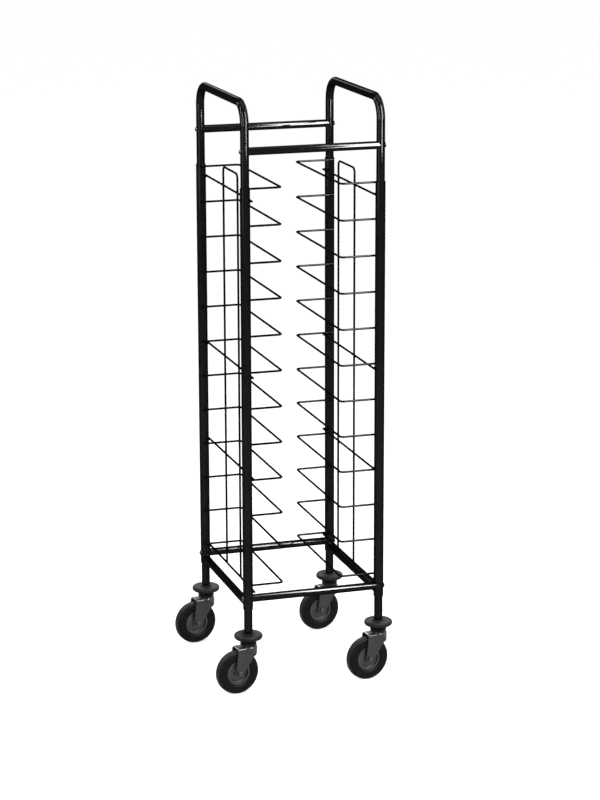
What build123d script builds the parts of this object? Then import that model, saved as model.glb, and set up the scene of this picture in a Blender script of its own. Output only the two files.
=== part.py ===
from build123d import *
from math import asin, atan2, degrees, sqrt
import os

# Tray trolley: two tube side frames joined by cross bars, twelve pairs of wire
# tray runners, wire side guards, and four swivel castors with rubber bumpers.
# Millimetres. X runs left to right, the front faces -Y, Z is up.
# The origin is on the floor, midway between the four castor swivel axes.

# Frame tubes
post_spacing_x = 384.0        # between left and right post axes
post_spacing_y = 446.0        # between front and rear post axes
post_diameter = 28.0
post_wall = 2.0
tube_fit = 0.1                # radial clearance where one tube plugs into another
inner_tube_wall = 1.5         # wall of the handle hoops and the leg tubes
hoop_height = 1652.0          # axis of the handle's top run above the floor
hoop_bend_radius = 57.0
post_top_drop = 226.0         # posts end this much below the handle's top run
upper_bar_drop = 127.0        # cross bars below the handle's top run
hoop_plug_depth = 90.0        # hoop leg inside the top of the post
leg_plug_depth = 88.0         # leg tube inside the foot of the post
bar_diameter = 22.0           # cross bars and base rails
bar_wall = 1.5
base_rail_height = 272.0      # front and rear rails
side_rail_drop = 16.0         # side rails lie this much lower
post_foot_margin = 3.0        # post runs on below the side rail
post_edge_chamfer = 0.6
weld_gap = 0.1                # stand-off filled by the weld

# Screws and end plugs of the bolted bars
screw_diameter = 8.0
screw_hole_fit = 0.3
screw_head_diameter = 14.0
screw_head_height = 4.5
screw_head_rim = 1.5          # straight edge under the dome
screw_grip = 18.0             # screw engaged in the plug
plug_length = 24.0
plug_fit = 0.1
thread_fit = 0.05

# Wire work
wire_diameter = 6.0
level_count = 12
lowest_level_rise = 31.4      # lowest runner above the front and rear rails
runner_reach = 107.0          # post axis to the runner's inner wire
wire_tail = 8.0               # wire end laid on past the post axis
runner_bend_radius = 10.0
post_top_margin = 5.0         # post runs on above the top runner
guard_half_width = 71.0       # guard upright from the middle of the side
guard_rise = 19.0             # guard top above the top runner
guard_bend_radius = 14.0
guard_foot_margin = 4.0       # guard upright runs on below the lowest stay
top_stay_drop = 30.0          # below the top runner
middle_stay_level = 6         # runner counted from the top
middle_stay_drop = 9.0
lower_stay_level = 9
lower_stay_rise = 9.0
bottom_stay_drop = 12.0       # below the lowest runner

# Castor wheels
wheel_diameter = 125.0
tyre_width = 28.0
tyre_shoulder_radius = 8.0
tread_crown = 1.0             # tread edge below its middle
tyre_bead_width = 22.0        # where the tyre sits on the hub rim
tyre_bead_rise = 7.0          # bead flares out to full width over this
tyre_fit = 0.05
hub_diameter = 68.0
hub_rim_wall = 4.0
hub_key_height = 2.5          # rib round the rim that locks the tyre
hub_key_width = 9.0
hub_web_outer = 5.0           # web thickness at the rim
hub_web_inner = 12.0          # web thickness at the boss
hub_web_round = 2.0
hub_boss_diameter = 28.0
hub_side_gap = 0.5            # hub boss to fork leg
hub_running_fit = 0.06
trail = 36.0                  # axle behind the swivel axis
trail_angle = 190.0           # direction in which the castors trail

# Castor forks
fork_gap = 34.0               # between the fork legs
fork_plate = 3.0
fork_clearance = 11.0         # top of the bell above the wheel
fork_bell_rise = 1.5          # bell stands this much above the crown behind it
fork_drum_diameter = 50.0     # bell round the swivel axis
fork_drum_depth = 14.0
fork_drum_step = 0.4          # front wall stands this far inside the bell
fork_drum_round = 4.0
fork_shoulder_round = 5.0     # bend between crown and legs
fork_front_depth = 17.0       # front wall's lower edge, below the top of the bell
fork_knee_reach = 7.0         # where front wall and leg meet, before the swivel axis
fork_knee_depth = 31.0        # and below the top of the bell
fork_back = 40.0              # rear edge of the crown behind the swivel axis
fork_back_round = 7.0
fork_boss_radius = 11.5
race_inner_radius = 12.0
race_outer_radius = 20.0
race_rise = 3.4               # lower race above the crown
race_foot = 1.5               # lower race let into the crown

# Castor axles
axle_diameter = 8.0
axle_hole_fit = 0.1
sleeve_diameter = 12.0
sleeve_bore_fit = 0.05
axle_head_width = 13.0        # across flats, bolt head and nut
axle_head_height = 5.3
axle_nut_height = 6.5
axle_end_length = 2.5         # bolt beyond the nut

# Castor swivel bearings
ball_diameter = 6.0
ball_count = 8
ball_ring_radius = 16.0
ball_rise = 5.0               # centres of the balls above the bell
ball_fit = 0.05               # ball to lower race
ball_gap = 0.3                # ball to upper race
skirt_diameter = 46.0         # dust skirt hanging round the balls
skirt_wall = 1.5
skirt_drop = 1.5              # skirt runs down below the ball centres
skirt_shoulder = 1.5
skirt_rise = 8.0              # top of the skirt above the ball centres
head_neck_radius = 19.0
head_neck_length = 5.0        # up to the face that leg tube and bumper stand on
king_pin_diameter = 10.0
king_pin_fit = 0.08
rivet_diameter = 18.0
rivet_height = 4.0
rivet_gap = 0.3
stem_length = 65.0
stem_fit = 0.1
stem_chamfer = 1.5

# Bumpers
bumper_diameter = 80.0
bumper_height = 18.0
bumper_bore_fit = 0.2
bumper_collar_radius = 17.0
bumper_collar_rise = 2.0
bumper_foot_radius = 27.0
bumper_foot_rise = 2.5        # underside rises this much out to the rim
bumper_rim_flat = 0.54        # left straight between the two rounds of the rim

# Sizes that follow from the ones above
half_x = post_spacing_x / 2
half_y = post_spacing_y / 2
post_radius = post_diameter / 2
inner_tube_radius = post_radius - post_wall - tube_fit
inner_tube_bore = inner_tube_radius - inner_tube_wall
bar_radius = bar_diameter / 2
bar_bore = bar_radius - bar_wall
wire_radius = wire_diameter / 2
side_rail_height = base_rail_height - side_rail_drop
post_top = hoop_height - post_top_drop
post_foot = side_rail_height - bar_radius - post_foot_margin
upper_bar_height = hoop_height - upper_bar_drop
top_level_height = post_top - post_top_margin
lowest_level_height = base_rail_height + lowest_level_rise
level_pitch = (top_level_height - lowest_level_height) / (level_count - 1)
runner_end_y = half_y - post_radius - weld_gap - wire_radius
stay_offset = post_radius + weld_gap + wire_radius
guard_offset = stay_offset + wire_diameter
wheel_radius = wheel_diameter / 2
hub_radius = hub_diameter / 2
fork_half_width = fork_gap / 2 + fork_plate
fork_top_height = wheel_diameter + fork_clearance
fork_crown_height = fork_top_height - fork_bell_rise
fork_front_height = fork_top_height - fork_front_depth
fork_knee_height = fork_top_height - fork_knee_depth
axle_radius = axle_diameter / 2
sleeve_radius = sleeve_diameter / 2
ball_radius = ball_diameter / 2
king_pin_radius = king_pin_diameter / 2
ball_height = fork_top_height + ball_rise
head_neck_height = ball_height + skirt_rise
head_flange_height = head_neck_height + head_neck_length

sides = {"left": -1, "right": 1}
ends = {"front": -1, "rear": 1}
corners = {
    "front_left": (-half_x, -half_y),
    "front_right": (half_x, -half_y),
    "rear_left": (-half_x, half_y),
    "rear_right": (half_x, half_y),
}

os.makedirs("parts", exist_ok=True)


def save(piece, name):
    """Label a finished piece and write it under the same name."""
    piece.part.label = name
    export_step(piece.part, f"parts/{name}.step")


def level_height(number):
    """Axis height of a runner, counted from the top."""
    return top_level_height - (number - 1) * level_pitch


def facing_x(x, y, height):
    """Plane square to X, for round sections and holes along a bar."""
    return Plane((x, y, height), x_dir=(0, 1, 0), z_dir=(1, 0, 0))


# Posts: round tube from below the base rails to just above the top runner,
# cross-drilled at the height of the front and rear rails for the screws.
def make_post(x, y):
    with BuildPart() as post:
        with BuildSketch(Plane.XY.offset(post_foot)):
            with Locations((x, y)):
                Circle(post_radius)
                Circle(post_radius - post_wall, mode=Mode.SUBTRACT)
        extrude(amount=post_top - post_foot)
        top_edges = post.edges().filter_by(GeomType.CIRCLE).group_by(Axis.Z)[-1]
        chamfer(top_edges.sort_by(SortBy.RADIUS)[-1], post_edge_chamfer)
        with BuildSketch(facing_x(x, y, base_rail_height)):
            Circle(screw_diameter / 2 + screw_hole_fit)
        extrude(amount=post_diameter, both=True, mode=Mode.SUBTRACT)
    return post


for corner, (x, y) in corners.items():
    save(make_post(x, y), f"post_{corner}")


# Leg tubes: plugged into the feet of the posts and held by the rail screws.
# They stand on the flanges of the castor heads.
def make_leg(x, y):
    with BuildPart() as leg:
        with BuildSketch(Plane.XY.offset(head_flange_height)):
            with Locations((x, y)):
                Circle(inner_tube_radius)
                Circle(inner_tube_bore, mode=Mode.SUBTRACT)
        extrude(amount=post_foot + leg_plug_depth - head_flange_height)
        with BuildSketch(facing_x(x, y, base_rail_height)):
            Circle(screw_diameter / 2 + screw_hole_fit)
        extrude(amount=post_diameter, both=True, mode=Mode.SUBTRACT)
    return leg


for corner, (x, y) in corners.items():
    save(make_leg(x, y), f"leg_{corner}")


# Handle hoops: one length of tube with two bends; each leg plugs into a post.
def make_hoop(x):
    foot = post_top - hoop_plug_depth
    with BuildPart() as hoop:
        with BuildLine(Plane.YZ.offset(x)) as path:
            FilletPolyline(
                (-half_y, foot),
                (-half_y, hoop_height),
                (half_y, hoop_height),
                (half_y, foot),
                radius=hoop_bend_radius,
            )
        with BuildSketch(Plane.XY.offset(foot)):
            with Locations((x, -half_y)):
                Circle(inner_tube_radius)
                Circle(inner_tube_bore, mode=Mode.SUBTRACT)
        sweep(path=path.line)
        for y in (-half_y, half_y):
            with BuildSketch(facing_x(x, y, upper_bar_height)):
                Circle(screw_diameter / 2 + screw_hole_fit)
            extrude(amount=post_diameter, both=True, mode=Mode.SUBTRACT)
    return hoop


for side, sign in sides.items():
    save(make_hoop(sign * half_x), f"handle_hoop_{side}")


# Cross bars and bolted base rails: tube with its ends saddle-cut to the round
# upright that it meets.
def make_cross_bar(y, height, upright_radius):
    with BuildPart() as bar:
        with BuildSketch(facing_x(-half_x, y, height)):
            Circle(bar_radius)
            Circle(bar_bore, mode=Mode.SUBTRACT)
        extrude(amount=post_spacing_x)
        with BuildSketch(Plane.XY.offset(height)):
            with Locations((-half_x, y), (half_x, y)):
                Circle(upright_radius + weld_gap)
        extrude(amount=bar_diameter, both=True, mode=Mode.SUBTRACT)
    return bar


for end, sign in ends.items():
    save(make_cross_bar(sign * half_y, upper_bar_height, inner_tube_radius), f"upper_bar_{end}")
    save(make_cross_bar(sign * half_y, base_rail_height, post_radius), f"base_rail_{end}")


# Side rails: the same tube, welded between the front and rear posts.
def make_side_rail(x):
    with BuildPart() as rail:
        with BuildSketch(Plane((x, -half_y, side_rail_height), x_dir=(1, 0, 0), z_dir=(0, 1, 0))):
            Circle(bar_radius)
            Circle(bar_bore, mode=Mode.SUBTRACT)
        extrude(amount=post_spacing_y)
        with BuildSketch(Plane.XY.offset(side_rail_height)):
            with Locations((x, -half_y), (x, half_y)):
                Circle(post_radius + weld_gap)
        extrude(amount=bar_diameter, both=True, mode=Mode.SUBTRACT)
    return rail


for side, sign in sides.items():
    save(make_side_rail(sign * half_x), f"base_rail_{side}")

# The eight bolted ends: height, radius of the upright, front or rear, left or right
bolted_ends = [
    (height, upright, end_sign * half_y, side_sign)
    for height, upright in ((upper_bar_height, inner_tube_radius), (base_rail_height, post_radius))
    for end_sign in ends.values()
    for side_sign in sides.values()
]

# End plugs: tapped steel plugs fixed in the ends of the bolted bars, with the
# same saddle cut as the bar.
with BuildPart() as bar_end_plugs:
    for height, upright, y, side_sign in bolted_ends:
        inward = Plane((side_sign * half_x, y, height), x_dir=(0, 1, 0), z_dir=(-side_sign, 0, 0))
        with BuildSketch(inward):
            Circle(bar_bore - plug_fit)
        extrude(amount=upright + plug_length)
        with BuildSketch(inward):
            Circle(screw_diameter / 2 + thread_fit)
        extrude(amount=upright + plug_length, mode=Mode.SUBTRACT)
        with BuildSketch(Plane.XY.offset(height)):
            with Locations((side_sign * half_x, y)):
                Circle(upright + weld_gap)
        extrude(amount=bar_diameter, both=True, mode=Mode.SUBTRACT)
save(bar_end_plugs, "bar_end_plugs")

# Frame screws: dome heads on the outer sides of the uprights, shanks through
# into the plugs. Each half-section lies on a plane with X outwards.
with BuildPart() as frame_screws:
    for height, upright, y, side_sign in bolted_ends:
        section = Plane((side_sign * half_x, y, height), x_dir=(side_sign, 0, 0), z_dir=(0, -1, 0))
        shank = screw_diameter / 2
        rim = screw_head_diameter / 2
        crest = upright + screw_head_height
        with BuildSketch(section):
            with BuildLine():
                Polyline(
                    (crest, 0),
                    (-upright - screw_grip, 0),
                    (-upright - screw_grip, shank),
                    (upright, shank),
                    (upright, rim),
                    (upright + screw_head_rim, rim),
                )
                TangentArc((crest, 0), (upright + screw_head_rim, rim), tangent=(0, 1), tangent_from_first=True)
            make_face()
        revolve(axis=Axis(section.origin, section.x_dir))
save(frame_screws, "frame_screws")


# Tray runners: each is one wire, bent to a U in plan. Its two ends are welded
# to the facing sides of the front and rear posts.
def make_runners(sign):
    tail_x = sign * (half_x + wire_tail)
    inner_x = sign * (half_x - runner_reach)
    with BuildPart() as runners:
        for number in range(1, level_count + 1):
            height = level_height(number)
            with BuildLine(Plane.XY.offset(height)) as path:
                FilletPolyline(
                    (tail_x, -runner_end_y),
                    (inner_x, -runner_end_y),
                    (inner_x, runner_end_y),
                    (tail_x, runner_end_y),
                    radius=runner_bend_radius,
                )
            with BuildSketch(facing_x(tail_x, -runner_end_y, height)):
                Circle(wire_radius)
            sweep(path=path.line)
    return runners


for side, sign in sides.items():
    save(make_runners(sign), f"tray_runners_{side}")

stay_heights = [
    top_level_height - top_stay_drop,
    level_height(middle_stay_level) - middle_stay_drop,
    level_height(lower_stay_level) + lower_stay_rise,
    lowest_level_height - bottom_stay_drop,
]


# Stay wires: straight wires welded across the inner faces of two posts.
def make_stays(sign):
    with BuildPart() as stays:
        for height in stay_heights:
            start = (sign * (half_x - stay_offset), -half_y - wire_tail, height)
            with BuildSketch(Plane(start, x_dir=(1, 0, 0), z_dir=(0, 1, 0))):
                Circle(wire_radius)
            extrude(amount=post_spacing_y + 2 * wire_tail)
    return stays


for side, sign in sides.items():
    save(make_stays(sign), f"stay_wires_{side}")


# Guard hoops: one wire bent to an inverted U, welded to the four stays.
def make_guard(sign):
    guard_x = sign * (half_x - guard_offset)
    foot = stay_heights[-1] - wire_radius - guard_foot_margin
    top = top_level_height + guard_rise
    with BuildPart() as guard:
        with BuildLine(Plane.YZ.offset(guard_x)) as path:
            FilletPolyline(
                (-guard_half_width, foot),
                (-guard_half_width, top),
                (guard_half_width, top),
                (guard_half_width, foot),
                radius=guard_bend_radius,
            )
        with BuildSketch(Plane.XY.offset(foot)):
            with Locations((guard_x, -guard_half_width)):
                Circle(wire_radius)
        sweep(path=path.line)
    return guard


for side, sign in sides.items():
    save(make_guard(sign), f"guard_hoop_{side}")


# Castor planes. The plan plane lies on the floor under the swivel axis with X
# along the trail; the upright plane stands on the same line; the axle plane
# lies through the wheel centre with X along the axle and Y up.
def plan_plane(x, y):
    return Plane((x, y, 0), x_dir=Vector(1, 0, 0).rotate(Axis.Z, trail_angle), z_dir=(0, 0, 1))


def upright_plane(plan):
    return Plane(plan.origin, x_dir=plan.x_dir, z_dir=-plan.y_dir)


def axle_plane(plan):
    return Plane(plan.from_local_coords((trail, 0, wheel_radius)), x_dir=plan.y_dir, z_dir=plan.x_dir)


def axle_face(plan, distance):
    """Plane square to the axle, at a distance from the middle of the wheel."""
    middle = axle_plane(plan)
    return Plane(middle.from_local_coords((distance, 0, 0)), x_dir=plan.x_dir, z_dir=plan.y_dir)


def swivel_axis(plan):
    return Axis(plan.origin, plan.z_dir)


# Bumpers: moulded rubber rings round the leg tubes, standing on the castor heads.
def make_bumper(plan):
    bore = inner_tube_radius + bumper_bore_fit
    rim = bumper_diameter / 2
    foot = head_flange_height
    top = foot + bumper_height
    shoulder = top - bumper_collar_rise
    rim_round = (shoulder - foot - bumper_foot_rise - bumper_rim_flat) / 2
    with BuildPart() as bumper:
        with BuildSketch(upright_plane(plan)) as section:
            with BuildLine():
                Polyline(
                    (bore, foot),
                    (bumper_foot_radius, foot),
                    (rim, foot + bumper_foot_rise),
                    (rim, shoulder),
                    (bumper_collar_radius, shoulder),
                    (bumper_collar_radius, top),
                    (bore, top),
                    close=True,
                )
            make_face()
            fillet(section.vertices().sort_by(Axis.X)[-2:], rim_round)
        revolve(axis=swivel_axis(plan))
    return bumper


# Castor heads: stem, flange, upper race, dust skirt and riveted king pin. The
# stem is fixed inside the leg tube.
def make_head(plan):
    stem = inner_tube_bore - stem_fit
    skirt = skirt_diameter / 2
    race_face = ball_height + ball_radius + ball_gap
    rivet_top = fork_top_height - fork_plate - rivet_gap
    with BuildPart() as head:
        with BuildSketch(upright_plane(plan)):
            with BuildLine():
                Polyline(
                    (0, rivet_top - rivet_height),
                    (rivet_diameter / 2, rivet_top - rivet_height),
                    (rivet_diameter / 2, rivet_top),
                    (king_pin_radius, rivet_top),
                    (king_pin_radius, race_face),
                    (skirt - skirt_wall, race_face),
                    (skirt - skirt_wall, ball_height - skirt_drop),
                    (skirt, ball_height - skirt_drop),
                    (skirt, head_neck_height - skirt_shoulder),
                    (skirt - skirt_shoulder, head_neck_height),
                    (head_neck_radius, head_neck_height),
                    (head_neck_radius, head_flange_height),
                    (stem, head_flange_height),
                    (stem, head_flange_height + stem_length - stem_chamfer),
                    (stem - stem_chamfer, head_flange_height + stem_length),
                    (0, head_flange_height + stem_length),
                    close=True,
                )
            make_face()
        revolve(axis=swivel_axis(plan))
    return head


# Ball rings: the balls that run between the head's upper race and the fork.
def make_ball_ring(plan):
    with BuildPart(plan.offset(ball_height)) as ball_ring:
        with PolarLocations(ball_ring_radius, ball_count):
            Sphere(ball_radius)
    return ball_ring


def tangent_point(point, centre, radius, turn):
    """Where a line from a point touches a circle; turn picks the side."""
    reach = Vector(*centre) - Vector(*point)
    length = sqrt(reach.length**2 - radius**2)
    angle = degrees(atan2(reach.Y, reach.X)) + turn * degrees(asin(radius / reach.length))
    return Vector(*point) + Vector(length, 0).rotate(Axis.Z, angle)


# Castor forks: deep-drawn from sheet. A closed bell round the swivel axis steps
# in to two flat legs, which narrow to round bosses at the axle. Each form is
# drawn twice, as its outer face and, one sheet thickness inside, as its hollow.
def leg_form(plan, inset):
    half_width = fork_half_width - inset
    front = fork_drum_diameter / 2 - fork_drum_step - inset
    back = fork_back + trail
    corner_x = -sqrt(front**2 - half_width**2)
    with BuildPart() as form:
        with BuildSketch(plan):
            with BuildLine():
                Polyline(
                    (corner_x, half_width),
                    (back, half_width),
                    (back, -half_width),
                    (corner_x, -half_width),
                )
                ThreePointArc((corner_x, -half_width), (-front, 0), (corner_x, half_width))
            make_face()
        extrude(amount=fork_crown_height - inset)
        crown_edges = form.faces().sort_by(Axis.Z)[-1].edges()
        fillet(crown_edges.sort_by(Axis(plan.origin, plan.x_dir))[:-1], fork_shoulder_round - inset)
    return form.part


def bell_form(plan, inset):
    radius = fork_drum_diameter / 2 - inset
    top = fork_top_height - inset
    foot = fork_top_height - fork_drum_depth + inset
    with BuildPart() as form:
        with BuildSketch(upright_plane(plan)) as half:
            with Locations((radius / 2, (foot + top) / 2)):
                Rectangle(radius, top - foot)
            fillet(half.vertices().sort_by(Axis.X)[-2:].sort_by(Axis.Y)[-1], fork_drum_round - inset)
        revolve(axis=swivel_axis(plan))
    return form.part


def make_fork(plan):
    outer_legs = leg_form(plan, 0)
    outer_bell = bell_form(plan, 0)
    inner_legs = leg_form(plan, fork_plate)
    inner_bell = bell_form(plan, fork_plate)
    boss = (trail, wheel_radius)
    knee = (-fork_knee_reach, fork_knee_height)
    back = (fork_back, fork_crown_height)
    front = -fork_drum_diameter / 2 - fork_plate
    front_touch = tangent_point(knee, boss, fork_boss_radius, -1)
    back_touch = tangent_point(back, boss, fork_boss_radius, 1)
    with BuildPart() as fork:
        add(outer_legs)
        with BuildSketch(upright_plane(plan)) as outline:
            with BuildLine():
                Polyline(front_touch, knee, (front, fork_front_height), (front, fork_crown_height), back, back_touch)
                ThreePointArc(back_touch, (trail, wheel_radius - fork_boss_radius), front_touch)
            make_face()
            fillet(outline.vertices().sort_by_distance(back)[0], fork_back_round)
        extrude(amount=fork_drum_diameter, both=True, mode=Mode.INTERSECT)
        add(outer_bell)
        add(inner_legs, mode=Mode.SUBTRACT)
        add(inner_bell, mode=Mode.SUBTRACT)
        # lower race: a grooved ring on the crown
        with BuildSketch(upright_plane(plan)):
            with BuildLine():
                Polyline(
                    (race_inner_radius, fork_top_height - race_foot),
                    (race_outer_radius, fork_top_height - race_foot),
                    (race_outer_radius, fork_top_height + race_rise),
                    (race_inner_radius, fork_top_height + race_rise),
                    close=True,
                )
            make_face()
            with Locations((ball_ring_radius, ball_height)):
                Circle(ball_radius + ball_fit, mode=Mode.SUBTRACT)
        revolve(axis=swivel_axis(plan))
        with BuildSketch(plan.offset(fork_top_height)):
            Circle(king_pin_radius + king_pin_fit)
        extrude(amount=fork_drum_depth, both=True, mode=Mode.SUBTRACT)
        with BuildSketch(axle_face(plan, 0)):
            Circle(axle_radius + axle_hole_fit)
        extrude(amount=fork_half_width, both=True, mode=Mode.SUBTRACT)
    return fork


def axle_axis(plan):
    return Axis(axle_plane(plan).origin, axle_plane(plan).x_dir)


# Axle bolts: hexagon head against the outer face of one fork leg.
def make_axle_bolt(plan):
    head_face = axle_face(plan, fork_half_width)
    with BuildPart() as bolt:
        with BuildSketch(head_face):
            RegularPolygon(axle_head_width / 2, 6, major_radius=False)
        extrude(amount=axle_head_height)
        with BuildSketch(head_face):
            Circle(axle_radius)
        extrude(amount=-(2 * fork_half_width + axle_nut_height + axle_end_length))
    return bolt


# Axle nuts: against the other fork leg, on the end of the bolt.
def make_axle_nut(plan):
    with BuildPart() as nut:
        with BuildSketch(axle_face(plan, -fork_half_width)):
            RegularPolygon(axle_head_width / 2, 6, major_radius=False)
            Circle(axle_radius + thread_fit, mode=Mode.SUBTRACT)
        extrude(amount=-axle_nut_height)
    return nut


# Axle sleeves: distance tubes clamped between the fork legs.
def make_axle_sleeve(plan):
    with BuildPart() as sleeve:
        with BuildSketch(axle_face(plan, 0)):
            Circle(sleeve_radius)
            Circle(axle_radius + sleeve_bore_fit, mode=Mode.SUBTRACT)
        extrude(amount=fork_gap / 2, both=True)
    return sleeve


# Wheel hubs: moulded centres with a dished web between boss and rim. They turn
# on the sleeves. A rib round the rim keeps the tyre in place.
def make_hub(plan):
    bore = sleeve_radius + hub_running_fit
    boss = hub_boss_diameter / 2
    boss_end = fork_gap / 2 - hub_side_gap
    rim_inside = hub_radius - hub_rim_wall
    rim_side = tyre_bead_width / 2
    key = hub_key_width / 2
    with BuildPart() as hub:
        with BuildSketch(axle_plane(plan)) as section:
            with BuildLine():
                edge = Polyline(
                    (0, bore),
                    (boss_end, bore),
                    (boss_end, boss),
                    (hub_web_inner / 2, boss),
                    (hub_web_outer / 2, rim_inside),
                    (rim_side, rim_inside),
                    (rim_side, hub_radius),
                    (key, hub_radius),
                    (key, hub_radius + hub_key_height),
                    (0, hub_radius + hub_key_height),
                )
                mirror(edge, about=Plane.YZ)
            make_face()
            hollows = [v for v in section.vertices() if boss <= v.Y <= rim_inside and abs(v.X) <= hub_web_inner / 2]
            fillet(hollows, hub_web_round)
        revolve(axis=axle_axis(plan))
    return hub


# Tyres: solid rubber with a rounded tread, moulded on the hub rim.
def make_tyre(plan):
    seat = hub_radius + tyre_fit
    groove = hub_key_width / 2 + tyre_fit
    side = tyre_width / 2
    with BuildPart() as tyre:
        with BuildSketch(axle_plane(plan)) as section:
            with BuildLine():
                edge = Polyline(
                    (0, seat + hub_key_height),
                    (groove, seat + hub_key_height),
                    (groove, seat),
                    (tyre_bead_width / 2, seat),
                    (side, seat + tyre_bead_rise),
                    (side, wheel_radius - tread_crown),
                )
                mirror(edge, about=Plane.YZ)
                ThreePointArc(
                    (side, wheel_radius - tread_crown),
                    (0, wheel_radius),
                    (-side, wheel_radius - tread_crown),
                )
            make_face()
            shoulders = section.vertices().filter_by_position(Axis.Y, wheel_radius - tread_crown, wheel_radius)
            fillet(shoulders, tyre_shoulder_radius)
        revolve(axis=axle_axis(plan))
    return tyre


for corner, (x, y) in corners.items():
    plan = plan_plane(x, y)
    save(make_bumper(plan), f"bumper_{corner}")
    save(make_head(plan), f"castor_head_{corner}")
    save(make_ball_ring(plan), f"ball_ring_{corner}")
    save(make_fork(plan), f"fork_{corner}")
    save(make_axle_bolt(plan), f"axle_bolt_{corner}")
    save(make_axle_nut(plan), f"axle_nut_{corner}")
    save(make_axle_sleeve(plan), f"axle_sleeve_{corner}")
    save(make_hub(plan), f"hub_{corner}")
    save(make_tyre(plan), f"tyre_{corner}")
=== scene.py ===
import math

import bmesh
import bpy
from mathutils import Matrix, Quaternion, Vector


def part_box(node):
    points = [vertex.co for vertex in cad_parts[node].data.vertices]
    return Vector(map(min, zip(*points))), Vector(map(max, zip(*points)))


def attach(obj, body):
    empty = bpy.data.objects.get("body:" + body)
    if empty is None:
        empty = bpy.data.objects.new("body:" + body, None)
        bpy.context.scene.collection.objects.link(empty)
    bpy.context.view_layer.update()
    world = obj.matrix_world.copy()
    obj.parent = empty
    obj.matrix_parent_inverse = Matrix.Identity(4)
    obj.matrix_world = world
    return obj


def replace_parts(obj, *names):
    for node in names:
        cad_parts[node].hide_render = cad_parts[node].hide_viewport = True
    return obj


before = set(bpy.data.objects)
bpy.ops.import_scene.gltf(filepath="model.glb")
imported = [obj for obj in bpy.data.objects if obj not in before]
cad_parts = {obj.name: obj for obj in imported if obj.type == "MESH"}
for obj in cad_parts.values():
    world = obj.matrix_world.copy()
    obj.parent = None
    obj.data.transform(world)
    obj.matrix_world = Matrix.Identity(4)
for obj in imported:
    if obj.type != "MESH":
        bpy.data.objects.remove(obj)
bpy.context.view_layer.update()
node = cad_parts

# Camera: a long lens from the front left, a little above the handles,
# so the trolley fills the tall picture.
camera_data = bpy.data.cameras.new("camera")
camera_data.sensor_width = 36.0
camera_data.lens = 114.66
camera_data.clip_end = 200.0
camera = bpy.data.objects.new("camera", camera_data)
bpy.context.scene.collection.objects.link(camera)
turn = math.radians(17.403)
dip = math.radians(14.231)
lean = math.radians(-0.144)
sight = Vector((math.sin(turn) * math.cos(dip), math.cos(turn) * math.cos(dip), -math.sin(dip)))
camera.location = (-2.0692, -6.7005, 2.552)
camera.rotation_mode = "QUATERNION"
camera.rotation_quaternion = sight.to_track_quat("-Z", "Y") @ Quaternion((0.0, 0.0, 1.0), lean)
bpy.context.scene.camera = camera
bpy.context.scene.view_settings.view_transform = "Standard"


# Studio: soft boxes on the right, on the left and overhead light the trolley. Tall,
# narrow cards stand in a ring round it and show only in gloss: the brightest draws the
# streak on the right half of the cross bars. The camera sees none of them.
def link(piece):
    bpy.context.scene.collection.objects.link(piece)
    return piece


def soft_box(name, place, target, width, height, power, roll=0.0, lights_object=True):
    lamp = bpy.data.lights.new(name, "AREA")
    lamp.shape = "RECTANGLE"
    lamp.size = width
    lamp.size_y = height
    lamp.energy = power
    holder = link(bpy.data.objects.new(name, lamp))
    holder.location = place
    holder.rotation_mode = "QUATERNION"
    aim = (Vector(target) - Vector(place)).to_track_quat("-Z", "Y")
    holder.rotation_quaternion = aim @ Quaternion((0.0, 0.0, 1.0), math.radians(roll))
    holder.visible_camera = False
    holder.visible_diffuse = lights_object


soft_box("soft_box_right", (2.6, -3.2, 2.4), (0.0, 0.0, 0.9), width=1.0, height=1.2, power=70.0)
soft_box("soft_box_left", (-3.4, -1.6, 1.6), (0.0, 0.0, 0.7), width=1.4, height=2.0, power=45.0)
soft_box("soft_box_top", (0.3, 0.2, 3.6), (0.0, 0.0, 0.0), width=1.8, height=1.8, power=45.0)

card_height, card_aim_height = 2.4, 2.0
soft_box("streak_card", (0.8, -1.7, card_height), (0.2, 0.0, card_aim_height), width=0.25, height=2.45,
         power=340.0, roll=-8.0, lights_object=False)
for name, along_x, along_y, roll in (
    ("card_front_right", 1.6, -1.5, -24.0),
    ("card_right", 1.9, 0.0, 0.0),
    ("card_rear_right", 1.6, 1.5, 24.0),
    ("card_rear", 0.0, 1.9, 0.0),
    ("card_rear_left", -1.6, 1.5, -24.0),
    ("card_left", -1.9, 0.0, 0.0),
    ("card_front_left", -1.6, -1.5, 24.0),
):
    near_middle = (along_x / 9.0, along_y / 9.0, card_aim_height)
    soft_box(name, (along_x, along_y, card_height), near_middle, width=0.3, height=2.2,
             power=75.0, roll=roll, lights_object=False)


# Surround: even white to the camera and in reflections, and dimmer as a light,
# so a colour comes out about as it is written.
def clean_nodes(owner):
    owner.use_nodes = True
    owner.node_tree.nodes.clear()
    return owner.node_tree


def maths(tree, operation, first, second=None):
    sum_node = tree.nodes.new("ShaderNodeMath")
    sum_node.operation = operation
    for place, value in enumerate((first, second)):
        if isinstance(value, (int, float)):
            sum_node.inputs[place].default_value = value
        elif value is not None:
            tree.links.new(value, sum_node.inputs[place])
    return sum_node.outputs[0]


def seen_or_mirrored(tree):
    path = tree.nodes.new("ShaderNodeLightPath")
    mirrored = maths(tree, "MAXIMUM", path.outputs["Is Glossy Ray"], path.outputs["Is Transmission Ray"])
    return maths(tree, "MAXIMUM", path.outputs["Is Camera Ray"], mirrored)


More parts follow.
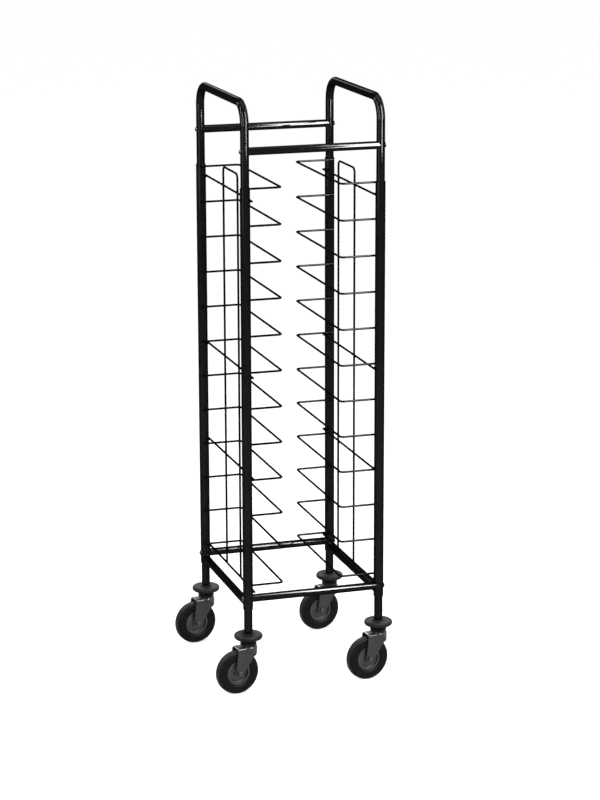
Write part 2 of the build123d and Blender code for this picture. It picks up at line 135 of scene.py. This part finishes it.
surround_light = 0.35
world = bpy.data.worlds.new("surround")
bpy.context.scene.world = world
tree = clean_nodes(world)
glow = tree.nodes.new("ShaderNodeBackground")
glow.inputs["Color"].default_value = (1.0, 1.0, 1.0, 1.0)
extra_light = maths(tree, "MULTIPLY", seen_or_mirrored(tree), 1.0 - surround_light)
tree.links.new(maths(tree, "ADD", extra_light, surround_light), glow.inputs["Strength"])
world_out = tree.nodes.new("ShaderNodeOutputWorld")
tree.links.new(glow.outputs[0], world_out.inputs["Surface"])

# Floor: a plain white sheet that runs out of sight. It shows as white where it is
# lit and keeps the shadow under the castors.
floor_radius, floor_lift = 60.0, 0.7
shape = bmesh.new()
bmesh.ops.create_circle(shape, cap_ends=True, segments=64, radius=floor_radius)
floor_mesh = bpy.data.meshes.new("floor")
shape.to_mesh(floor_mesh)
shape.free()
floor = link(bpy.data.objects.new("floor", floor_mesh))
floor_paint = bpy.data.materials.new("floor_paint")
tree = clean_nodes(floor_paint)
matt = tree.nodes.new("ShaderNodeBsdfDiffuse")
matt.inputs["Color"].default_value = (0.85, 0.85, 0.85, 1.0)
lift = tree.nodes.new("ShaderNodeEmission")
tree.links.new(maths(tree, "MULTIPLY", seen_or_mirrored(tree), floor_lift), lift.inputs["Strength"])
both = tree.nodes.new("ShaderNodeAddShader")
tree.links.new(matt.outputs[0], both.inputs[0])
tree.links.new(lift.outputs[0], both.inputs[1])
floor_out = tree.nodes.new("ShaderNodeOutputMaterial")
tree.links.new(both.outputs[0], floor_out.inputs["Surface"])
floor_mesh.materials.append(floor_paint)


# Posts and leg tubes: round steel tube, the slimmer leg pushed up into the post.
# The frame is dipped in gloss black, which leaves a faint orange peel, and it has
# picked up dust low down, dull patches and a few fine scuffs.
def noise(tree, vector, scale, detail=2.0, roughness=0.5):
    grain = tree.nodes.new("ShaderNodeTexNoise")
    grain.inputs["Detail"].default_value = detail
    grain.inputs["Roughness"].default_value = roughness
    for name, value in (("Vector", vector), ("Scale", scale)):
        if isinstance(value, (int, float)):
            grain.inputs[name].default_value = value
        else:
            tree.links.new(value, grain.inputs[name])
    return grain.outputs["Fac"]


def spread(tree, value, low, high, at_low=0.0, at_high=1.0):
    ramp = tree.nodes.new("ShaderNodeMapRange")
    tree.links.new(value, ramp.inputs["Value"])
    for name, level in (("From Min", low), ("From Max", high), ("To Min", at_low), ("To Max", at_high)):
        if isinstance(level, (int, float)):
            ramp.inputs[name].default_value = level
        else:
            tree.links.new(level, ramp.inputs[name])
    return ramp.outputs["Result"]


def mapped(tree, vector, scale=(1.0, 1.0, 1.0), turned=(0.0, 0.0, 0.0), moved=(0.0, 0.0, 0.0)):
    step = tree.nodes.new("ShaderNodeMapping")
    tree.links.new(vector, step.inputs["Vector"])
    step.inputs["Location"].default_value = moved
    step.inputs["Rotation"].default_value = turned
    step.inputs["Scale"].default_value = scale
    return step.outputs["Vector"]


def height_of(tree, vector):
    parts = tree.nodes.new("ShaderNodeSeparateXYZ")
    tree.links.new(vector, parts.inputs["Vector"])
    return parts.outputs["Z"]


def new_group(name, inputs, outputs):
    group = bpy.data.node_groups.new(name, "ShaderNodeTree")
    group.interface.new_socket(name="Vector", in_out="INPUT", socket_type="NodeSocketVector")
    for label, value in inputs.items():
        made = group.interface.new_socket(name=label, in_out="INPUT", socket_type="NodeSocketFloat")
        made.default_value = value
    for label in outputs:
        group.interface.new_socket(name=label, in_out="OUTPUT", socket_type="NodeSocketFloat")
    given = group.nodes.new("NodeGroupInput")
    result = group.nodes.new("NodeGroupOutput")
    return group, given.outputs, result.inputs


# Dust: Amount at the floor, fading upwards over Reach metres, in specks and patches.
dust, given, result = new_group("dust", {"Amount": 0.4, "Reach": 0.5, "Speck Scale": 350.0}, ["Dust"])
low_down = spread(dust, height_of(dust, given["Vector"]), 0.0, given["Reach"], at_low=1.0, at_high=0.15)
specks = spread(dust, noise(dust, given["Vector"], given["Speck Scale"], 4.0, 0.7), 0.48, 0.75)
patches = spread(dust, noise(dust, given["Vector"], 14.0, 5.0, 0.6), 0.3, 0.75, at_low=0.25)
laid = maths(dust, "MULTIPLY", maths(dust, "MULTIPLY", specks, patches), low_down)
dust.links.new(maths(dust, "MULTIPLY", laid, given["Amount"]), result["Dust"])

# Handling: dull patches, and fine scuffs that run round a tube.
handling, given, result = new_group("handling", {"Patch Scale": 9.0, "Scuff Scale": 55.0}, ["Dull", "Scuffs"])
worn = noise(handling, given["Vector"], given["Patch Scale"], 5.0, 0.62)
handling.links.new(spread(handling, worn, 0.4, 0.72), result["Dull"])
flattened = mapped(handling, given["Vector"], scale=(1.0, 1.0, 24.0))
streaks = noise(handling, flattened, given["Scuff Scale"], 3.0, 0.6)
thin_marks = spread(handling, streaks, 0.66, 0.78)
where_rubbed = spread(handling, worn, 0.5, 0.64)
handling.links.new(maths(handling, "MULTIPLY", thin_marks, where_rubbed), result["Scuffs"])


def new_finish(name):
    finish = bpy.data.materials.new(name)
    tree = clean_nodes(finish)
    skin = tree.nodes.new("ShaderNodeBsdfPrincipled")
    out = tree.nodes.new("ShaderNodeOutputMaterial")
    tree.links.new(skin.outputs[0], out.inputs["Surface"])
    return finish, tree, skin.inputs, tree.nodes.new("ShaderNodeTexCoord").outputs["Object"]


def use_group(tree, group, vector, **values):
    placed = tree.nodes.new("ShaderNodeGroup")
    placed.node_tree = group
    tree.links.new(vector, placed.inputs["Vector"])
    for label, value in values.items():
        placed.inputs[label.replace("_", " ")].default_value = value
    return placed.outputs


def blend(tree, mask, first, second):
    mixed = tree.nodes.new("ShaderNodeMix")
    mixed.data_type = "RGBA"
    tree.links.new(mask, mixed.inputs[0])
    for place, colour in ((6, first), (7, second)):
        if isinstance(colour, tuple):
            mixed.inputs[place].default_value = (*colour, 1.0)
        else:
            tree.links.new(colour, mixed.inputs[place])
    return mixed.outputs[2]


def raise_height(tree, skin, height, depth):
    bump = tree.nodes.new("ShaderNodeBump")
    bump.inputs["Distance"].default_value = depth
    tree.links.new(height, bump.inputs["Height"])
    tree.links.new(bump.outputs["Normal"], skin["Normal"])


dust_colour = (0.2, 0.19, 0.175)
deep_black, scuffed_black = (0.0022, 0.0022, 0.0024), (0.012, 0.012, 0.0125)


# The gloss is all in the clear top layer, and it fades where a tube's side turns away.
def black_coat(name, peel_scale, gloss, smooth, dull):
    finish, tree, skin, place = new_finish(name)
    laid = use_group(tree, dust, place, Amount=0.07, Reach=0.7)["Dust"]
    worn = use_group(tree, handling, place)
    paint = blend(tree, worn["Scuffs"], deep_black, scuffed_black)
    tree.links.new(blend(tree, laid, paint, dust_colour), skin["Base Color"])
    wear = maths(tree, "MAXIMUM", worn["Dull"], worn["Scuffs"])
    tree.links.new(spread(tree, wear, 0.0, 1.0, smooth, dull), skin["Roughness"])
    raise_height(tree, skin, noise(tree, place, peel_scale, detail=1.5), depth=0.00002)
    facing = tree.nodes.new("ShaderNodeLayerWeight").outputs["Facing"]
    polish = maths(tree, "MULTIPLY", spread(tree, worn["Dull"], 0.0, 1.0, 1.0, 0.7), gloss)
    tree.links.new(spread(tree, facing, 0.05, 0.5, polish, 0.1 * gloss), skin["Coat Weight"])
    skin["Coat Roughness"].default_value = 0.07
    skin["Specular IOR Level"].default_value = 0.0
    return finish


def dress(names, finish):
    for name in names:
        slots = node[name].data.materials
        for index in range(len(slots)):
            slots[index] = finish


corners = ("front_left", "front_right", "rear_left", "rear_right")
frame_black = black_coat("frame_black", peel_scale=300.0, gloss=0.2, smooth=0.1, dull=0.3)
dress([f"post_{corner}" for corner in corners], frame_black)
dress([f"leg_{corner}" for corner in corners], frame_black)

# Handle hoops: one length of tube for each side, bent over at the top and pushed
# down into the posts. Same dipped black.
dress(("handle_hoop_left", "handle_hoop_right"), frame_black)

# Cross bars and base rails: tube cut to the round of the posts. The bars across the
# front and back are held by screws, and the side rails are welded in with a bead all
# round each end.
dress(("upper_bar_front", "upper_bar_rear"), frame_black)
dress([f"base_rail_{place}" for place in ("front", "rear", "left", "right")], frame_black)

half_x, half_y = 0.192, 0.223
post_radius = 0.014
rail_radius, side_rail_height, weld_radius = 0.011, 0.256, 0.0019
sides = (("left", -1.0), ("right", 1.0))


def edges_of(verts):
    return list(dict.fromkeys(edge for vert in verts for edge in vert.link_edges))


def spin_bead(shape, radius, segments, tipped_about, offset, axis, steps):
    section = bmesh.ops.create_circle(shape, segments=segments, radius=radius)["verts"]
    upright = Matrix.Rotation(math.pi / 2, 3, tipped_about)
    bmesh.ops.rotate(shape, verts=section, cent=(0.0, 0.0, 0.0), matrix=upright)
    bmesh.ops.translate(shape, verts=section, vec=offset)
    bmesh.ops.spin(shape, geom=section + edges_of(section), cent=(0.0, 0.0, 0.0), axis=axis,
                   angle=math.tau, steps=steps, use_merge=True)


def finish_piece(shape, name, finish, body):
    mesh = bpy.data.meshes.new(name)
    shape.to_mesh(mesh)
    shape.free()
    mesh.shade_smooth()
    mesh.set_sharp_from_angle(angle=math.radians(35.0))
    mesh.materials.append(finish)
    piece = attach(link(bpy.data.objects.new(name, mesh)), body)
    return piece


for side, sign in sides:
    welds = bmesh.new()
    for end in (-1.0, 1.0):
        spin_bead(welds, weld_radius, 8, "Y", (0.0, 0.0, rail_radius), (0.0, 1.0, 0.0), steps=64)
        for vert in [vert for vert in welds.verts if not vert.tag]:
            sideways = max(-post_radius, min(post_radius, vert.co.x))
            outwards = half_y + vert.co.y - math.sqrt(post_radius**2 - sideways**2)
            vert.co = (vert.co.x + sign * half_x, end * outwards, vert.co.z + side_rail_height)
            vert.tag = True
    bmesh.ops.recalc_face_normals(welds, faces=welds.faces)
    finish_piece(welds, f"rail_welds_{side}", frame_black, "frame")


# Screws and end plugs: button-head socket screws, blackened, driven through the
# uprights into tapped steel plugs in the ends of the bars.
def around(vert):
    return math.atan2(vert.co.y, vert.co.x)


def put(vert, place):
    angle = around(vert)
    reach, height = place(angle)
    vert.co = (reach * math.cos(angle), reach * math.sin(angle), height)


def round_at(reach, height):
    return lambda angle: (reach, height)


def hexagon_reach(angle, across_flats):
    return across_flats / 2 / math.cos((angle % (math.pi / 3)) - math.pi / 6)


def hexagon_at(across_flats, height):
    return lambda angle: (hexagon_reach(angle, across_flats), height)


def build_rings(shape, places, capped=True):
    """Makes a ring at the first place and extrudes it to each place after. Returns both end loops."""
    ring = bmesh.ops.create_circle(shape, cap_ends=capped, segments=48, radius=0.001)["verts"]
    for vert in ring:
        put(vert, places[0])
    first = loop = edges_of(ring)
    for place in places[1:]:
        made = bmesh.ops.extrude_edge_only(shape, edges=loop)["geom"]
        fresh = {part for part in made if isinstance(part, bmesh.types.BMVert)}
        for vert in fresh:
            put(vert, place)
        edges = [part for part in made if isinstance(part, bmesh.types.BMEdge)]
        loop = [edge for edge in edges if fresh.issuperset(edge.verts)]
    return first, loop


def stand(shape, verts, place, direction):
    facing = Vector(direction).to_track_quat("Z", "Y").to_matrix().to_4x4()
    bmesh.ops.transform(shape, matrix=Matrix.Translation(Vector(place)) @ facing, verts=verts)


def plated(name, colour, stain, smooth, rough, metallic, dust_amount=0.2, specular=0.5):
    finish, tree, skin, place = new_finish(name)
    worn = use_group(tree, handling, place, Patch_Scale=60.0, Scuff_Scale=160.0)
    laid = use_group(tree, dust, place, Amount=dust_amount, Reach=1.0)["Dust"]
    stained = spread(tree, noise(tree, place, 130.0, 4.0, 0.65), 0.35, 0.7)
    tree.links.new(blend(tree, laid, blend(tree, stained, colour, stain), dust_colour), skin["Base Color"])
    tree.links.new(spread(tree, worn["Dull"], 0.0, 1.0, smooth, rough), skin["Roughness"])
    raise_height(tree, skin, noise(tree, place, 900.0, detail=3.0), depth=0.00004)
    skin["Metallic"].default_value = metallic
    skin["Specular IOR Level"].default_value = specular
    return finish


head_radius, head_rim, head_height, head_edge = 0.007, 0.0015, 0.0045, 0.0003
socket_width, socket_depth, socket_bevel = 0.005, 0.0024, 0.0005
shank_radius, shank_past_upright, tip_length, tip_bevel = 0.0039, 0.017, 0.001, 0.0008
upper_bar_height, bolted_rail_height, hoop_radius = 1.525, 0.272, 0.0119
dome_rise = head_height - head_rim
dome_radius = (head_radius**2 + dome_rise**2) / (2 * dome_rise)
dome_reaches = (0.0034, 0.0042, 0.005, 0.0058, 0.0064, 0.00685)


def on_dome(reach):
    return round_at(reach, head_height - dome_radius + math.sqrt(dome_radius**2 - reach**2))


screw_head = (
    hexagon_at(socket_width, head_height - socket_depth),
    hexagon_at(socket_width, head_height - socket_bevel),
    *(on_dome(reach) for reach in dome_reaches),
    round_at(head_radius, head_rim),
    round_at(head_radius, head_edge),
    round_at(head_radius - head_edge, 0.0),
)
screws = bmesh.new()
for height, upright in ((upper_bar_height, hoop_radius), (bolted_rail_height, post_radius)):
    shank_end = -2 * upright - shank_past_upright
    screw_shank = (
        round_at(shank_radius, 0.0),
        round_at(shank_radius, shank_end),
        round_at(shank_radius - tip_bevel, shank_end - tip_length),
    )
    for end in (-1.0, 1.0):
        for sign in (-1.0, 1.0):
            before = set(screws.verts)
            last = build_rings(screws, screw_head + screw_shank)[1]
            bmesh.ops.contextual_create(screws, geom=last)
            fresh = [vert for vert in screws.verts if vert not in before]
            stand(screws, fresh, (sign * (half_x + upright), end * half_y, height), (sign, 0.0, 0.0))
bmesh.ops.recalc_face_normals(screws, faces=screws.faces)
screw_black = plated("screw_black", colour=(0.035, 0.035, 0.037), stain=(0.02, 0.019, 0.018),
                     smooth=0.25, rough=0.45, metallic=0.85)
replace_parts(finish_piece(screws, "socket_screws", screw_black, "frame"), "frame_screws")
plug_zinc = plated("plug_zinc", colour=(0.32, 0.32, 0.31), stain=(0.22, 0.21, 0.2),
                   smooth=0.35, rough=0.55, metallic=0.9)
dress(["bar_end_plugs"], plug_zinc)

# Tray runners, stay wires and guard hoops: drawn wire, bent and spot welded, and
# dipped with the frame. Each crossing keeps a small squeezed bead of weld.
wire_black = black_coat("wire_black", peel_scale=700.0, gloss=0.05, smooth=0.2, dull=0.36)

wire_radius, weld_gap = 0.003, 0.0001
lowest_runner, runner_pitch, runner_levels = 0.3034, 0.1016, 12
runner_heights = [lowest_runner + runner_pitch * level for level in range(runner_levels)]
stay_heights = (0.2914, 0.6172, 0.904, 1.391)
guard_half_width = 0.071
bead_half_length, bead_radius, bead_offset = 0.005, 0.0016, 0.0008
bead_rises = (-0.95 * wire_radius, 0.95 * wire_radius)
crossing_bead = (0.0013, 0.0033, 0.0033)


def bead(shape, place, size):
    made = bmesh.ops.create_icosphere(shape, subdivisions=2, radius=1.0)["verts"]
    bmesh.ops.scale(shape, verts=made, vec=size)
    bmesh.ops.translate(shape, verts=made, vec=place)


for side, sign in sides:
    dress([f"tray_runners_{side}", f"stay_wires_{side}", f"guard_hoop_{side}"], wire_black)
    beads = bmesh.new()
    stay_weld = sign * (half_x - post_radius - bead_offset)
    guard_weld = sign * (half_x - post_radius - 2 * wire_radius - weld_gap)
    for end in (-1.0, 1.0):
        runner_weld = end * (half_y - post_radius - bead_offset)
        for height in runner_heights:
            for rise in bead_rises:
                place = (sign * half_x, runner_weld, height + rise)
                bead(beads, place, (bead_half_length, bead_radius, bead_radius))
        for height in stay_heights:
            for rise in bead_rises:
                place = (stay_weld, end * half_y, height + rise)
                bead(beads, place, (bead_radius, bead_half_length, bead_radius))
    for along in (-guard_half_width, guard_half_width):
        for height in stay_heights:
            bead(beads, (guard_weld, along, height), crossing_bead)
    finish_piece(beads, f"wire_welds_{side}", wire_black, "frame")

# Bumpers: moulded grey rubber rings round the legs, with a fine spark finish, a
# flash line at the widest part and specks of dust.
mould, given, result = new_group("mould", {"Grain Scale": 1500.0, "Bloom Scale": 40.0}, ["Grain", "Bloom"])
mould.links.new(noise(mould, given["Vector"], given["Grain Scale"], 3.0, 0.7), result["Grain"])
bloom = noise(mould, given["Vector"], given["Bloom Scale"], 6.0, 0.68)
mould.links.new(spread(mould, bloom, 0.36, 0.7), result["Bloom"])


def moulded(name, colour, bloomed, smooth, rough, grain_depth, dust_amount, specular):
    finish, tree, skin, place = new_finish(name)
    surface = use_group(tree, mould, place)
    laid = use_group(tree, dust, place, Amount=dust_amount, Reach=0.4)["Dust"]
    body_colour = blend(tree, surface["Bloom"], colour, bloomed)
    tree.links.new(blend(tree, laid, body_colour, dust_colour), skin["Base Color"])
    tree.links.new(spread(tree, surface["Bloom"], 0.0, 1.0, smooth, rough), skin["Roughness"])
    raise_height(tree, skin, surface["Grain"], grain_depth)
    skin["Specular IOR Level"].default_value = specular
    return finish


bumper_grey = moulded("bumper_grey", colour=(0.007, 0.007, 0.0073), bloomed=(0.012, 0.012, 0.012),
                      smooth=0.5, rough=0.65, grain_depth=0.00008, dust_amount=0.09, specular=0.08)
dress([f"bumper_{corner}" for corner in corners], bumper_grey)

bumper_radius, flash_height, flash_radius = 0.04, 0.1628, 0.00035
flash_reach = bumper_radius - 0.0004
for corner in corners:
    low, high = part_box(f"bumper_{corner}")
    middle = (low + high) / 2
    flash = bmesh.new()
    spin_bead(flash, flash_radius, 6, "X", (flash_reach, 0.0, 0.0), (0.0, 0.0, 1.0), steps=96)
    bmesh.ops.translate(flash, verts=flash.verts, vec=(middle.x, middle.y, flash_height))
    bmesh.ops.recalc_face_normals(flash, faces=flash.faces)
    finish_piece(flash, f"bumper_flash_{corner}", bumper_grey, "frame")

# Castor heads, balls and sleeves: turned and pressed steel. The heads and sleeves are
# blackened. The heads are pressed up into the legs, and the bright balls run in a
# groove on the fork.
castor_black = plated("castor_black", colour=(0.0035, 0.0035, 0.0036), stain=(0.002, 0.002, 0.002),
                      smooth=0.25, rough=0.45, metallic=0.0, dust_amount=0.02, specular=0.06)
dress([f"castor_head_{corner}" for corner in corners], castor_black)
dress([f"axle_sleeve_{corner}" for corner in corners], castor_black)
ball_steel = plated("ball_steel", colour=(0.5, 0.5, 0.5), stain=(0.4, 0.4, 0.4),
                    smooth=0.08, rough=0.2, metallic=1.0)
dress([f"ball_ring_{corner}" for corner in corners], ball_steel)

# Forks: deep-drawn from steel sheet and finished in a dull dark grey, with draw marks
# down the legs. The bell above them is painted near black as painted shade under the
# bumper, with a low sheen. All four hang the same way, so one pattern, measured from the swivel axis along
# the trail, repeats.
trail_turn = math.radians(10.0)
bell_foot, bell_start = 0.121, 0.1235
sheet_grey, sheet_light = (0.024, 0.0243, 0.025), (0.033, 0.0333, 0.034)
bell_painted_shade, rubbed_grey = (0.006, 0.006, 0.0062), (0.1, 0.1, 0.1)


def from_leg(tree, place):
    tile = tree.nodes.new("ShaderNodeVectorMath")
    tile.operation = "WRAP"
    tree.links.new(mapped(tree, place, moved=(half_x, half_y, 0.0)), tile.inputs[0])
    tile.inputs[1].default_value = (half_x, half_y, 10.0)
    tile.inputs[2].default_value = (-half_x, -half_y, -10.0)
    return mapped(tree, tile.outputs["Vector"], turned=(0.0, 0.0, -trail_turn))


fork_grey, tree, skin, place = new_finish("fork_grey")
leg_place = from_leg(tree, place)
worn = use_group(tree, handling, leg_place, Patch_Scale=26.0, Scuff_Scale=120.0)
laid = use_group(tree, dust, place, Amount=0.2, Reach=0.5)["Dust"]
draw_marks = noise(tree, mapped(tree, leg_place, scale=(60.0, 60.0, 3.0)), 9.0, 4.0, 0.6)
sheet = blend(tree, spread(tree, draw_marks, 0.35, 0.7), sheet_grey, sheet_light)
on_bell = spread(tree, height_of(tree, place), bell_foot, bell_start)
# Above the bell foot the sheet colour is blended to near black: painted shade under the bumper.
rubbed = blend(tree, worn["Scuffs"], blend(tree, on_bell, sheet, bell_painted_shade), rubbed_grey)
tree.links.new(blend(tree, laid, rubbed, dust_colour), skin["Base Color"])
tree.links.new(maths(tree, "MULTIPLY", on_bell, 0.4), skin["Coat Weight"])
tree.links.new(spread(tree, worn["Dull"], 0.0, 1.0, 0.3, 0.48), skin["Roughness"])
raise_height(tree, skin, draw_marks, depth=0.00005)
skin["Metallic"].default_value = 0.35
skin["Coat Roughness"].default_value = 0.18
skin["Specular IOR Level"].default_value = 0.3
dress([f"fork_{corner}" for corner in corners], fork_grey)

# Axle bolts and nuts: an M8 hexagon bolt with a washer face, and a locking nut with
# a nylon ring, through the sleeve from one fork leg to the other.
bolt_zinc = plated("bolt_zinc", colour=(0.045, 0.045, 0.046), stain=(0.03, 0.03, 0.03),
                   smooth=0.32, rough=0.5, metallic=0.5)
across = Vector((math.sin(trail_turn), -math.cos(trail_turn), 0.0))
behind = Vector((-math.cos(trail_turn), -math.sin(trail_turn), 0.0))
trail, axle_height, fork_side = 0.036, 0.0625, 0.02
head_flats, bolt_radius, step_in = 0.013, 0.004, 0.97
chamfer_reach = head_flats / 2 * step_in
washer_reach = chamfer_reach * step_in


def chamfer_drop(reach):
    return max(0.0, reach - chamfer_reach) * math.tan(math.radians(30.0))


def flats_at(height, slope):
    def place(angle):
        reach = hexagon_reach(angle, head_flats)
        return reach, height + slope * chamfer_drop(reach)
    return place


bolt_top, washer_step, dish_radius, dish_edge, dish_depth = 0.0053, 0.0005, 0.0028, 0.0034, 0.0002
far_face = -2 * fork_side
plain_end, thread_start, bolt_tip = far_face - 0.0045, far_face - 0.005, far_face - 0.009
pitch, thread_turns, thread_depth = 0.00125, 3, 0.0006
to_root, to_crest = 0.0003, 0.0009
bolt_head = (
    round_at(dish_radius, bolt_top - dish_depth),
    round_at(dish_edge, bolt_top),
    round_at(chamfer_reach, bolt_top),
    flats_at(bolt_top, -1.0),
    hexagon_at(head_flats, washer_step),
    round_at(washer_reach, washer_step),
    round_at(washer_reach, 0.0),
)
bolt_shank = [round_at(bolt_radius, 0.0), round_at(bolt_radius, plain_end)]
for turn_number in range(thread_turns):
    turn_start = thread_start - turn_number * pitch
    bolt_shank.append(round_at(bolt_radius - thread_depth, turn_start - to_root))
    bolt_shank.append(round_at(bolt_radius, turn_start - to_crest))
bolt_shank.append(round_at(bolt_radius - tip_bevel, bolt_tip))

nut_bore, nut_edge, nut_shoulder, nut_top = 0.00405, 0.0001, 0.0046, 0.0065
collar, collar_foot, collar_bevel, collar_lip, nylon_sink = 0.0056, 0.0048, 0.0006, 0.0011, 0.0004
nut_profile = (
    round_at(nut_bore, 0.0),
    round_at(washer_reach, 0.0),
    flats_at(nut_edge, 1.0),
    flats_at(nut_shoulder, -1.0),
    round_at(collar, collar_foot),
    round_at(collar, nut_top - collar_bevel),
    round_at(collar - collar_bevel, nut_top),
    round_at(collar - collar_lip, nut_top),
    round_at(collar - collar_lip, nut_top - nylon_sink),
    round_at(nut_bore, nut_top - nylon_sink),
)

for corner, (x_sign, y_sign) in zip(corners, ((-1, -1), (1, -1), (-1, 1), (1, 1))):
    centre = Vector((x_sign * half_x, y_sign * half_y, axle_height)) + behind * trail
    body = f"swivel_{corner}"
    bolt = bmesh.new()
    last = build_rings(bolt, [*bolt_head, *bolt_shank])[1]
    bmesh.ops.contextual_create(bolt, geom=last)
    stand(bolt, bolt.verts, centre + across * fork_side, across)
    bmesh.ops.recalc_face_normals(bolt, faces=bolt.faces)
    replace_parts(finish_piece(bolt, f"hexagon_bolt_{corner}", bolt_zinc, body),
                f"axle_bolt_{corner}")

    nut = bmesh.new()
    first, last = build_rings(nut, nut_profile, capped=False)
    bmesh.ops.bridge_loops(nut, edges=last + first)
    stand(nut, nut.verts, centre - across * fork_side, -across)
    bmesh.ops.recalc_face_normals(nut, faces=nut.faces)
    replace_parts(finish_piece(nut, f"locking_nut_{corner}", bolt_zinc, body),
                f"axle_nut_{corner}")

# Wheel hubs: moulded grey plastic, dished, each with a fine spark finish, a cloudy
# bloom and road dust lying on it. They turn on the axle sleeves.
hub_grey = moulded("hub_grey", colour=(0.026, 0.0262, 0.0275), bloomed=(0.04, 0.04, 0.0408),
                   smooth=0.4, rough=0.55, grain_depth=0.00006, dust_amount=0.2, specular=0.4)
dress([f"hub_{corner}" for corner in corners], hub_grey)

# Tyres: solid black rubber moulded on the hubs. The tread is scuffed grey where it
# rolls, and fine rings from the mould run round the side walls.
rubber_black, rubber_bloom = (0.0035, 0.0035, 0.0037), (0.0065, 0.0065, 0.0067)
tread_grey = (0.02, 0.0195, 0.019)
shoulder_start, tread_start, ring_radians_per_metre = 0.0592, 0.0618, 3500.0
tyre_black, tree, skin, place = new_finish("tyre_black")
from_axle = mapped(tree, from_leg(tree, place), moved=(trail, 0.0, -axle_height))
wheel_plane = tree.nodes.new("ShaderNodeVectorMath")
wheel_plane.operation = "MULTIPLY"
wheel_plane.inputs[1].default_value = (1.0, 0.0, 1.0)
tree.links.new(from_axle, wheel_plane.inputs[0])
length = tree.nodes.new("ShaderNodeVectorMath")
length.operation = "LENGTH"
tree.links.new(wheel_plane.outputs["Vector"], length.inputs[0])
reach = length.outputs["Value"]
surface = use_group(tree, mould, place, Grain_Scale=1200.0, Bloom_Scale=55.0)
patchy = spread(tree, surface["Bloom"], 0.0, 1.0, 0.35, 1.0)
rolled = maths(tree, "MULTIPLY", spread(tree, reach, shoulder_start, tread_start), patchy)
rubber = blend(tree, surface["Bloom"], rubber_black, rubber_bloom)
scuffed = blend(tree, rolled, rubber, tread_grey)
laid = use_group(tree, dust, place, Amount=0.06, Reach=0.3)["Dust"]
tree.links.new(blend(tree, laid, scuffed, dust_colour), skin["Base Color"])
tree.links.new(spread(tree, surface["Bloom"], 0.0, 1.0, 0.42, 0.6), skin["Roughness"])
rings = maths(tree, "SINE", maths(tree, "MULTIPLY", reach, ring_radians_per_metre))
ringed = maths(tree, "ADD", maths(tree, "MULTIPLY", rings, 0.4), surface["Grain"])
raise_height(tree, skin, ringed, depth=0.00008)
skin["Specular IOR Level"].default_value = 0.05
dress([f"tyre_{corner}" for corner in corners], tyre_black)
